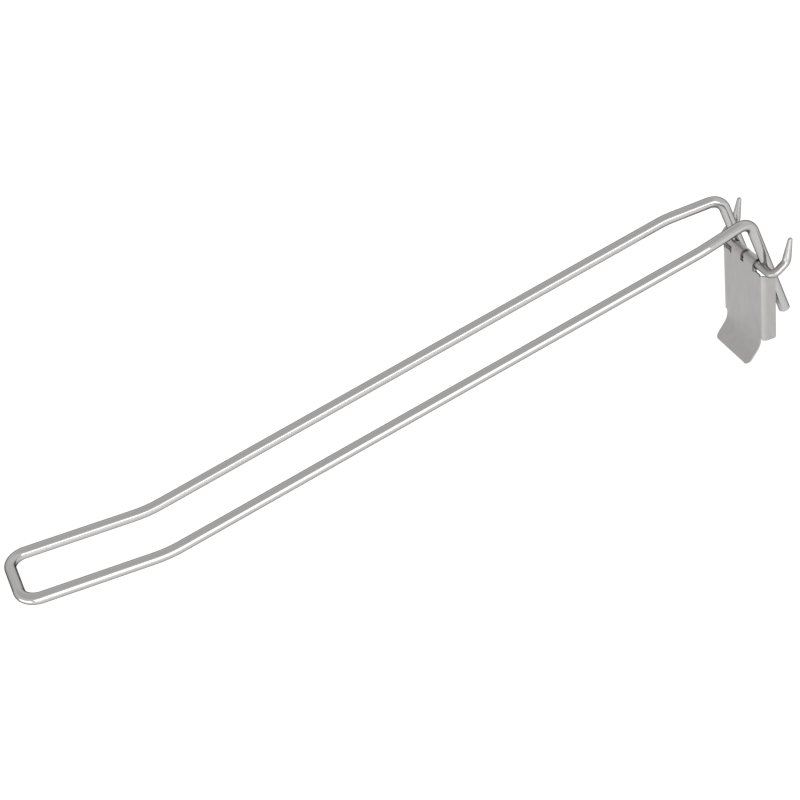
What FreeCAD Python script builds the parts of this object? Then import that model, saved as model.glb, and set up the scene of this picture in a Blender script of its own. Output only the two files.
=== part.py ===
import FreeCAD, Part
import math
import os

# Double display hook for a perforated sheet-metal wall panel.
# The wall is the plane Y = 0 and the panel lies behind it. +Z is up and the goods hang at -Y.
# The origin is on the wall, midway between the two prongs, at the height where they enter the panel.
# Three pieces: a bent loop wire, a bent prong wire welded across its legs, and a folded
# keeper plate whose two rolled eyes turn on the prong wire between the legs.

V = FreeCAD.Vector
X_AXIS = V(1, 0, 0)

# Loop wire: sizes of the bent wire, along its centre line
loop_wire_d = 6.0
rail_spacing = 38.0         # between the two rails, centre to centre
rail_rise = 6.0             # degrees that the rails climb towards the front
rail_length = 309.5         # straight stretch, from the tip bend to the rear set-in
setin_length = 31.3         # stretch where the rails draw together, up to the rear bend
setin_drop = 1.8            # how far that stretch dips below the line of the rails
tip_length = 73.6           # upturned tip, from its bend to the front bar
tip_bend = 13.7             # degrees that the tip turns up from the rails
leg_spacing = 28.3          # between the two legs, centre to centre
leg_above_root = 28.2       # rear bend above the prong roots
leg_below_root = 36.9       # cut ends below the prong roots
front_corner_r = 9.5
tip_bend_r = 60.0
setin_bend_r = 45.0
rear_bend_r = 8.5
cut_end_chamfer = 0.5

# Prong wire
prong_wire_d = 4.5
prong_spacing = 50.0        # pitch of the panel holes that the two prongs enter
weld_set_down = 2.0         # how far the two wires are pressed into each other at the welds
panel_thickness = 1.0
panel_clearance = 0.2       # between the back of the panel and the prong
cross_drop = 3.0            # cross wire below the prong roots
prong_lean = 29.3           # degrees from upright, away from the panel
prong_length = 14.2         # from its corner to the point
prong_tip_d = 2.4
cross_corner_r = 4.2
prong_corner_r = 4.2

# Keeper plate, folded from one sheet
sheet = 0.9
plate_width = 41.0
plate_height = 40.7         # from the top edge to the foot of the side flanges
flange_depth = 7.9          # over the front face
plate_top = 2.2             # top edge below the pivot
fold_r = 1.8                # inside radius of the folds
plate_lean = 18.5           # degrees that the hanging plate stands off the wall, as shown
eye_clearance = 0.2         # between the wire and the inside of an eye
eye_width = 9.0
eye_gap = 3.0               # between the two eyes
eye_turn = 290.0            # degrees that the tab rolls round the wire
notch_clearance = 0.5       # between the wire and the notch in a side flange
lip_drop = 4.4              # bend line of the lip below the foot of the flanges
lip_length = 13.1           # from its bend line to its edge
lip_kick = 37.7             # degrees that the lip turns out from the plate
lip_bend_r = 10.0           # inside radius of that soft bend
lip_top_width = 33.6
lip_foot_width = 33.0
lip_corner_r = 2.5
flange_corner_r = 1.2       # lower rear corners of the side flanges
relief_r = 0.8

# Places that follow from the sizes
loop_r = loop_wire_d / 2
prong_r = prong_wire_d / 2
leg_y = -loop_r
cross_y = leg_y - (loop_r + prong_r - weld_set_down)
prong_y = panel_thickness + panel_clearance + prong_r
eye_inner_r = prong_r + eye_clearance
eye_outer_r = eye_inner_r + sheet
plate_front = eye_outer_r
PIVOT = V(0, cross_y, -cross_drop)


def rounded_path(points, radii):
    """Straight runs through the points, joined by tangent arcs of the given radii."""
    edges = []
    start = points[0]
    for before, corner, after, radius in zip(points, points[1:], points[2:], radii):
        to_before = (before - corner).normalize()
        to_after = (after - corner).normalize()
        half_angle = to_before.getAngle(to_after) / 2
        reach = radius / math.tan(half_angle)
        centre_way = (to_before + to_after).normalize()
        middle = corner + centre_way * (radius / math.sin(half_angle) - radius)
        arc_start = corner + to_before * reach
        arc_end = corner + to_after * reach
        edges.append(Part.LineSegment(start, arc_start).toShape())
        edges.append(Part.Arc(arc_start, middle, arc_end).toShape())
        start = arc_end
    edges.append(Part.LineSegment(start, points[-1]).toShape())
    return Part.Wire(edges)


def round_bar(path, diameter):
    """A round wire swept along a path from its first point."""
    first = path.Edges[0]
    start = first.valueAt(first.FirstParameter)
    heading = first.tangentAt(first.FirstParameter)
    ring = Part.Wire([Part.makeCircle(diameter / 2, start, heading)])
    return path.makePipeShell([ring], True, False)


def chamfer_cut_ends(bar):
    """Break the sharp edge of the two cut ends of a bar."""
    rims = [edge for face in bar.Faces if isinstance(face.Surface, Part.Plane) for edge in face.Edges]
    return bar.makeChamfer(cut_end_chamfer, rims)


def loop_side(side):
    """Corner points of one rail and leg, from the cut end to the front bar; side is 1 or -1."""
    rise = math.radians(rail_rise)
    forward = V(0, -math.cos(rise), math.sin(rise))
    upward = V(0, math.sin(rise), math.cos(rise))
    tip_rise = math.radians(rail_rise + tip_bend)
    tip_way = V(0, -math.cos(tip_rise), math.sin(tip_rise))
    foot = V(side * leg_spacing / 2, leg_y, -leg_below_root)
    rear = V(side * leg_spacing / 2, leg_y, leg_above_root)
    rear_middle = V(0, leg_y, leg_above_root)
    rail_x = V(side * rail_spacing / 2, 0, 0)
    rail_back = rear_middle + rail_x + forward * setin_length + upward * setin_drop
    tip_back = rail_back + forward * rail_length
    corner = tip_back + tip_way * tip_length
    return [foot, rear, rail_back, tip_back, corner]


def make_loop_wire():
    near = loop_side(1)
    far = loop_side(-1)
    side_radii = [rear_bend_r, setin_bend_r, tip_bend_r, front_corner_r]
    path = rounded_path(near + far[::-1], side_radii + side_radii[::-1])
    return chamfer_cut_ends(round_bar(path, loop_wire_d))


def prong_side(side):
    """Corner of a prong behind the panel and corner at the cross wire; side is 1 or -1."""
    x = side * prong_spacing / 2
    return [V(x, prong_y, 0), V(x, cross_y, -cross_drop)]


def prong_way():
    """Direction of a prong from its corner to its point."""
    lean = math.radians(prong_lean)
    return V(0, math.sin(lean), math.cos(lean))


def prong_reach():
    """Length of a prong that the bend behind the panel takes up."""
    root_rise = math.degrees(math.atan2(cross_drop, prong_y - cross_y))
    turn = math.radians(90 - prong_lean - root_rise)
    return prong_corner_r * math.tan(turn / 2)


def make_prong_wire(loop_wire):
    """The cross wire with its two ends turned back through the panel and up, pointed."""
    near = prong_side(1)
    far = prong_side(-1)
    taper_start = prong_way() * (prong_reach() + prong_r / 2)
    points = [near[0] + taper_start] + near + far[::-1] + [far[0] + taper_start]
    radii = [prong_corner_r, cross_corner_r, cross_corner_r, prong_corner_r]
    bar = round_bar(rounded_path(points, radii), prong_wire_d)
    tip_r = prong_tip_d / 2
    cone_length = prong_length - taper_start.Length - tip_r
    points_of_prongs = []
    for corner in (near[0], far[0]):
        base = corner + taper_start
        top = base + prong_way() * cone_length
        points_of_prongs.append(Part.makeCone(prong_r, tip_r, cone_length, base, prong_way()))
        points_of_prongs.append(Part.makeSphere(tip_r, top))
    wire = bar.fuse(points_of_prongs).removeSplitter()
    return wire.cut(loop_wire)


def plate_point(ahead, up, x=0.0):
    """A point of the keeper plate hanging upright, measured from its pivot."""
    return PIVOT + V(x, -ahead, up)


def polar(radius, degrees):
    """A point of the plate's side view, round the pivot; 0 degrees looks forward and 90 degrees up."""
    angle = math.radians(degrees)
    return plate_point(radius * math.cos(angle), radius * math.sin(angle))


def arc(radius, first, last):
    middle = (first + last) / 2
    return Part.Arc(polar(radius, first), polar(radius, middle), polar(radius, last)).toShape()


def line(start, end):
    return Part.LineSegment(start, end).toShape()


def make_eye(x_start):
    """One tab of the plate, rolled back over the wire and round under it."""
    back = plate_front - sheet
    foot = -plate_top - sheet
    edges = [
        line(plate_point(plate_front, foot), plate_point(plate_front, 0)),
        arc(eye_outer_r, 0, eye_turn),
        line(polar(eye_outer_r, eye_turn), polar(eye_inner_r, eye_turn)),
        arc(eye_inner_r, eye_turn, 0),
        line(plate_point(back, 0), plate_point(back, foot)),
        line(plate_point(back, foot), plate_point(plate_front, foot)),
    ]
    strip = Part.Face(Part.Wire(edges)).extrude(X_AXIS * eye_width)
    strip.translate(X_AXIS * x_start)
    return strip


def closed_outline(points, radii):
    """A closed outline whose corners are rounded; a radius of 0 keeps a corner sharp."""
    count = len(points)
    ends = []
    for index, (corner, radius) in enumerate(zip(points, radii)):
        to_before = (points[index - 1] - corner).normalize()
        to_after = (points[(index + 1) % count] - corner).normalize()
        half_angle = to_before.getAngle(to_after) / 2
        reach = radius / math.tan(half_angle)
        centre_way = (to_before + to_after).normalize()
        middle = corner + centre_way * (radius / math.sin(half_angle) - radius)
        ends.append((corner + to_before * reach, middle, corner + to_after * reach))
    edges = []
    for index, (arc_start, middle, arc_end) in enumerate(ends):
        if radii[index] > 0:
            edges.append(Part.Arc(arc_start, middle, arc_end).toShape())
        edges.append(line(arc_end, ends[(index + 1) % count][0]))
    return Part.Face(Part.Wire(edges))


def make_channel():
    """Face and side flanges of the plate: one folded section, extruded downwards."""
    half = plate_width / 2
    rear = plate_front - flange_depth
    inner_face = plate_front - sheet
    bend = fold_r + sheet
    corners = [
        (-half, rear), (-half, plate_front), (half, plate_front), (half, rear),
        (half - sheet, rear), (half - sheet, inner_face), (-half + sheet, inner_face), (-half + sheet, rear),
    ]
    radii = [0, bend, bend, 0, 0, fold_r, fold_r, 0]
    points = [plate_point(ahead, -plate_top, x) for x, ahead in corners]
    return closed_outline(points, radii).extrude(V(0, 0, -plate_height))


def make_lip():
    """The finger lip below the plate, kicked forward in a soft bend and tapered to rounded corners."""
    kick = math.radians(lip_kick)
    foot_up = -(plate_top + plate_height)
    start_up = foot_up + sheet
    bend_up = foot_up - lip_drop
    down = V(0, -math.sin(kick), -math.cos(kick))
    rearward = V(0, math.cos(kick), -math.sin(kick))
    front_bend = plate_point(plate_front, bend_up)
    back_bend = plate_point(plate_front - sheet, bend_up - sheet * math.tan(kick / 2))
    front_edge = front_bend + down * lip_length
    side_view = [
        plate_point(plate_front, start_up), front_bend, front_edge,
        front_edge + rearward * sheet, back_bend, plate_point(plate_front - sheet, start_up),
    ]
    strip = closed_outline(side_view, [0, lip_bend_r, 0, 0, lip_bend_r + sheet, 0])
    strip = strip.extrude(X_AXIS * plate_width)
    strip.translate(X_AXIS * (-plate_width / 2))
    top = lip_top_width / 2
    foot = lip_foot_width / 2
    edge_up = bend_up - lip_length * math.cos(kick)
    ahead_of_lip = plate_front + lip_length
    front_view = [
        plate_point(ahead_of_lip, start_up, -top), plate_point(ahead_of_lip, start_up, top),
        plate_point(ahead_of_lip, edge_up, foot), plate_point(ahead_of_lip, edge_up, -foot),
    ]
    trim = closed_outline(front_view, [0, 0, lip_corner_r, lip_corner_r])
    return strip.common(trim.extrude(V(0, 2 * (ahead_of_lip + flange_depth), 0)))


def make_reliefs():
    """Round notches at the ends of the flange folds and beside the tabs."""
    fold_x = plate_width / 2 - sheet - fold_r
    tab_x = eye_gap / 2 + eye_width + relief_r
    foot_up = -(plate_top + plate_height)
    cutters = []
    for x, up in ((fold_x, -plate_top), (fold_x, foot_up), (tab_x, -plate_top)):
        for side in (1, -1):
            start = plate_point(plate_front + sheet, up, side * x)
            cutters.append(Part.makeCylinder(relief_r, 3 * sheet, start, V(0, 1, 0)))
    return cutters


def make_flange_notches():
    """Round notches in the tops of the side flanges, clear of the wire at every angle."""
    radius = prong_r + notch_clearance
    cutters = []
    for side in (1, -1):
        start = plate_point(0, 0, side * (plate_width / 2 - 2 * sheet))
        cutters.append(Part.makeCylinder(radius, 3 * sheet, start, X_AXIS * side))
    return cutters


def round_flange_corners(channel):
    """Round the lower rear corner of each side flange."""
    foot_up = -(plate_top + plate_height)
    corner = plate_point(plate_front - flange_depth, foot_up)
    edges = []
    for edge in channel.Edges:
        ends = [vertex.Point for vertex in edge.Vertexes]
        at_corner = all(abs(end.y - corner.y) + abs(end.z - corner.z) < 0.01 for end in ends)
        if at_corner:
            edges.append(edge)
    return channel.makeFillet(flange_corner_r, edges)


def make_keeper_plate():
    eyes = [make_eye(eye_gap / 2), make_eye(-eye_gap / 2 - eye_width)]
    channel = round_flange_corners(make_channel())
    plate = channel.fuse(eyes + [make_lip()]).removeSplitter()
    plate = plate.cut(make_reliefs() + make_flange_notches())
    plate.rotate(PIVOT, X_AXIS, -plate_lean)
    return plate


def write_node(name, shape):
    solids = shape.Solids
    print(name, "solids", len(solids), "valid", shape.isValid(), "volume", round(shape.Volume, 1))
    single = solids[0] if len(solids) == 1 else Part.makeCompound(solids)
    single.exportStep("parts/" + name + ".step")


def main():
    os.makedirs("parts", exist_ok=True)
    loop_wire = make_loop_wire()
    write_node("loop_wire", loop_wire)
    write_node("prong_wire", make_prong_wire(loop_wire))
    write_node("keeper_plate", make_keeper_plate())


main()
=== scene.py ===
import bpy
from mathutils import Matrix, Vector

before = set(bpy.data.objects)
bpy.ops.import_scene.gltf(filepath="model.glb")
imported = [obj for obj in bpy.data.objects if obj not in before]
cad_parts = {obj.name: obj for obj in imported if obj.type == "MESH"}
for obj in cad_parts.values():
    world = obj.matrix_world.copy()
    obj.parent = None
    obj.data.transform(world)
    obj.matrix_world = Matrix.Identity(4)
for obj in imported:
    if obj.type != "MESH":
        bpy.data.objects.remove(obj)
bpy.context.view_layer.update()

# Camera, in the row frame: its place, the directions of its own axes, and its lens.
CAMERA_PLACE = (0.71579, -0.24466, 0.62810)
CAMERA_RIGHT = (0.38167, 0.82679, -0.41322)
CAMERA_UP = (-0.50154, 0.56078, 0.65878)
CAMERA_LENS_MM = 81.457
# Floor, and the light added to it where it is seen or mirrored.
FLOOR_Z = -0.30
FLOOR_HALF = 8.0
FLOOR_COLOR = (0.93, 0.93, 0.93)
FLOOR_LIFT = 0.18
# Height of a direction, from 0 at the horizon to 1 overhead, over which the sky turns to the ceiling.
CEILING_FROM = 0.54
CEILING_TO = 0.76
CEILING_LEVEL = 0.79
# Steel: the loop wire's bright plating, the duller prong wire, and the sheet's two tones.
LOOP_COLOR = (0.45, 0.445, 0.44)
PRONG_COLOR = (0.40, 0.39, 0.38)
SHEET_DARK = (0.335, 0.323, 0.315)
SHEET_LIGHT = (0.40, 0.387, 0.378)
# Black tint at a grazing angle paints dark rims on the wires, a painted shade that stands for dark
# surroundings mirrored at their edges.
PAINTED_RIM_SHADE = (0.0, 0.0, 0.0, 1.0)


def principled(name, color, metallic, roughness):
    mat = bpy.data.materials.new(name)
    mat.use_nodes = True
    tree = mat.node_tree
    shader = tree.nodes["Principled BSDF"]
    shader.inputs["Base Color"].default_value = (*color, 1.0)
    shader.inputs["Metallic"].default_value = metallic
    shader.inputs["Roughness"].default_value = roughness
    return mat, tree, shader


def noise(tree, scale, detail, stretch=(1.0, 1.0, 1.0)):
    """Noise in the object's own coordinates, stretched along an axis by a small factor."""
    coords = tree.nodes.new("ShaderNodeTexCoord")
    mapping = tree.nodes.new("ShaderNodeMapping")
    mapping.inputs["Scale"].default_value = stretch
    texture = tree.nodes.new("ShaderNodeTexNoise")
    texture.inputs["Scale"].default_value = scale
    texture.inputs["Detail"].default_value = detail
    tree.links.new(coords.outputs["Object"], mapping.inputs["Vector"])
    tree.links.new(mapping.outputs["Vector"], texture.inputs["Vector"])
    return texture.outputs["Fac"]


def bump(tree, shader, height, distance, strength):
    node = tree.nodes.new("ShaderNodeBump")
    node.inputs["Distance"].default_value = distance
    node.inputs["Strength"].default_value = strength
    tree.links.new(height, node.inputs["Height"])
    tree.links.new(node.outputs["Normal"], shader.inputs["Normal"])


def vary_roughness(tree, shader, value, low, high):
    spread = tree.nodes.new("ShaderNodeMapRange")
    spread.inputs["To Min"].default_value = low
    spread.inputs["To Max"].default_value = high
    tree.links.new(value, spread.inputs["Value"])
    tree.links.new(spread.outputs["Result"], shader.inputs["Roughness"])


def plated_wire(name, color, low, high):
    """Bright plating with fine drawing lines and painted dark rims; its roughness goes from low to
    high.
    """
    mat, tree, shader = principled(name, color, 1.0, low)
    # Black tint at grazing angles paints dark rims on the wire: painted shade, not a property of the
    # plating.
    shader.inputs["Specular Tint"].default_value = PAINTED_RIM_SHADE
    vary_roughness(tree, shader, noise(tree, 60.0, 3.0), low, high)
    bump(tree, shader, noise(tree, 400.0, 2.0, (1.0, 0.15, 1.0)), 0.00003, 0.1)
    return mat


def rolled_sheet(name, dark, light):
    """Plated sheet steel with faint streaks down its height."""
    mat, tree, shader = principled(name, light, 1.0, 0.34)
    streaks = noise(tree, 300.0, 2.0, (1.0, 1.0, 0.03))
    blend = tree.nodes.new("ShaderNodeMix")
    blend.data_type = "RGBA"
    blend.inputs["A"].default_value = (*dark, 1.0)
    blend.inputs["B"].default_value = (*light, 1.0)
    tree.links.new(streaks, blend.inputs["Factor"])
    tree.links.new(blend.outputs["Result"], shader.inputs["Base Color"])
    vary_roughness(tree, shader, noise(tree, 90.0, 3.0), 0.32, 0.42)
    bump(tree, shader, streaks, 0.00002, 0.4)
    return mat


def paint(node, mat):
    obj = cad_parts[node]
    obj.data.materials.clear()
    obj.data.materials.append(mat)


def add_camera():
    data = bpy.data.cameras.new("camera")
    data.sensor_width = 36.0
    data.lens = CAMERA_LENS_MM
    data.clip_start = 0.01
    data.clip_end = 50.0
    camera = bpy.data.objects.new("camera", data)
    bpy.context.scene.collection.objects.link(camera)
    right = Vector(CAMERA_RIGHT).normalized()
    up = Vector(CAMERA_UP).normalized()
    back = right.cross(up)
    turn = Matrix((right, up, back)).transposed().to_4x4()
    camera.matrix_world = Matrix.Translation(CAMERA_PLACE) @ turn
    bpy.context.scene.camera = camera


def add_area(name, place, target, size, power):
    data = bpy.data.lights.new(name, "AREA")
    data.shape = "RECTANGLE"
    data.size, data.size_y = size
    data.energy = power
    lamp = bpy.data.objects.new(name, data)
    bpy.context.scene.collection.objects.link(lamp)
    lamp.location = place
    way = Vector(target) - Vector(place)
    lamp.rotation_euler = way.to_track_quat("-Z", "Y").to_euler()


def add_world():
    """White round the horizon, with a darker ceiling above it."""
    world = bpy.data.worlds.new("studio")
    bpy.context.scene.world = world
    world.use_nodes = True
    tree = world.node_tree
    coords = tree.nodes.new("ShaderNodeTexCoord")
    split = tree.nodes.new("ShaderNodeSeparateXYZ")
    height = tree.nodes.new("ShaderNodeMapRange")
    height.interpolation_type = "SMOOTHSTEP"
    height.inputs["From Min"].default_value = CEILING_FROM
    height.inputs["From Max"].default_value = CEILING_TO
    height.inputs["To Min"].default_value = 1.0
    height.inputs["To Max"].default_value = CEILING_LEVEL
    background = tree.nodes["Background"]
    background.inputs["Color"].default_value = (1.0, 1.0, 1.0, 1.0)
    tree.links.new(coords.outputs["Generated"], split.inputs["Vector"])
    tree.links.new(split.outputs["Z"], height.inputs["Value"])
    tree.links.new(height.outputs["Result"], background.inputs["Strength"])


def add_floor():
    """A pale floor that keeps shadows, lifted to white where it is seen or mirrored."""
    mesh = bpy.data.meshes.new("floor")
    ways = [(-1, -1), (1, -1), (1, 1), (-1, 1)]
    corners = [(x * FLOOR_HALF, y * FLOOR_HALF, FLOOR_Z) for x, y in ways]
    mesh.from_pydata(corners, [], [(0, 1, 2, 3)])
    floor = bpy.data.objects.new("floor", mesh)
    bpy.context.scene.collection.objects.link(floor)
    mat, tree, shader = principled("floor", FLOOR_COLOR, 0.0, 0.9)
    shader.inputs["Specular IOR Level"].default_value = 0.0
    path = tree.nodes.new("ShaderNodeLightPath")
    seen = path.outputs["Is Camera Ray"]
    for other in ("Is Glossy Ray", "Is Transmission Ray"):
        either = tree.nodes.new("ShaderNodeMath")
        either.operation = "MAXIMUM"
        tree.links.new(seen, either.inputs[0])
        tree.links.new(path.outputs[other], either.inputs[1])
        seen = either.outputs["Value"]
    lift = tree.nodes.new("ShaderNodeMath")
    lift.operation = "MULTIPLY"
    lift.inputs[1].default_value = FLOOR_LIFT
    tree.links.new(seen, lift.inputs[0])
    shader.inputs["Emission Color"].default_value = (1.0, 1.0, 1.0, 1.0)
    tree.links.new(lift.outputs["Value"], shader.inputs["Emission Strength"])
    mesh.materials.append(mat)


paint("loop_wire", plated_wire("loop_wire", LOOP_COLOR, 0.10, 0.14))
paint("prong_wire", plated_wire("prong_wire", PRONG_COLOR, 0.26, 0.34))
paint("keeper_plate", rolled_sheet("keeper_plate", SHEET_DARK, SHEET_LIGHT))
add_camera()
add_world()
add_floor()
# Lamps: place, the point each one faces, size and power.
add_area("side", (1.7, -0.2, 0.30), (0.0, -0.2, 0.0), (2.6, 1.1), 19.5)
add_area("front", (0.35, -1.6, 0.05), (0.0, 0.0, 0.0), (1.3, 0.6), 4.5)

bpy.context.scene.view_settings.view_transform = "Standard"
